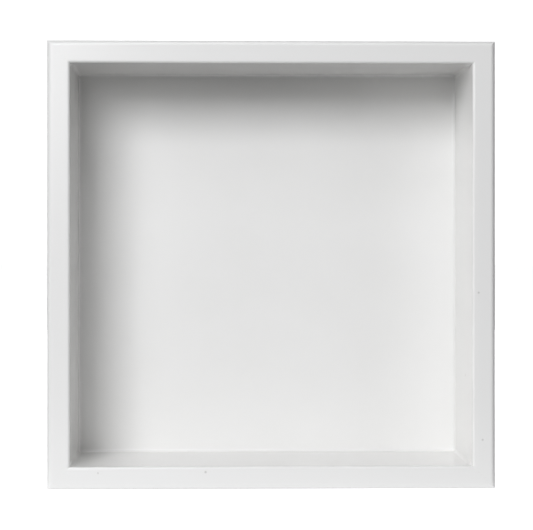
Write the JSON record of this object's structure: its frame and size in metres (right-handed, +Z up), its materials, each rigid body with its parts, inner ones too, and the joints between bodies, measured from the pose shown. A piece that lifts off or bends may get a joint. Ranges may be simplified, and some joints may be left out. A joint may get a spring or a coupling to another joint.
{
  "type": "open-front shadow box",
  "caption": "Deep open-front square shadow box with mitred white lacquered sides, rounded rim, white back panel and swinging D-ring hangers.",
  "frame": {"origin": "on the surface the box stands on, below the middle of the whole object", "axes": "+X to the viewer's right, -Y out of the open front, +Z up"},
  "size_m": [0.305, 0.106, 0.305],
  "materials": {
    "white_lacquer": "sprayed satin white lacquer on MDF",
    "white_back": "satin white lacquered front, bare brown board behind",
    "white_filler": "smoothed and lacquered filler",
    "plywood": "bare birch plywood",
    "zinc_steel": "bright zinc plate",
    "dark_rubber": "matt moulded rubber"
  },
  "bodies": {
    "box": {"board_bottom": "white_lacquer", "board_left": "white_lacquer", "board_top": "white_lacquer", "board_right": "white_lacquer", "back_panel": "white_back", "filler_bead": "white_filler", "corner_spline_bottom_right": "plywood", "corner_spline_bottom_left": "plywood", "corner_spline_top_left": "plywood", "corner_spline_top_right": "plywood", "hanger_strap_left": "zinc_steel", "hanger_strap_right": "zinc_steel", "hanger_screw_left_upper": "zinc_steel", "hanger_screw_left_lower": "zinc_steel", "hanger_screw_right_upper": "zinc_steel", "hanger_screw_right_lower": "zinc_steel", "wall_bumper_lower_left": "dark_rubber", "wall_bumper_upper_left": "dark_rubber", "wall_bumper_lower_right": "dark_rubber", "wall_bumper_upper_right": "dark_rubber"},
    "ring_left": {"hanger_ring_left": "zinc_steel"},
    "ring_right": {"hanger_ring_right": "zinc_steel"}
  },
  "joints": [
    {"name": "ring_left_swing", "type": "hinge", "parent": "box", "child": "ring_left", "pos_m": [-0.14475, 0.0506, 0.245], "axis": [1, 0, 0], "range_deg": [0, 179]},
    {"name": "ring_right_swing", "type": "hinge", "parent": "box", "child": "ring_right", "pos_m": [0.14475, 0.0506, 0.245], "axis": [1, 0, 0], "range_deg": [0, 179]}
  ]
}
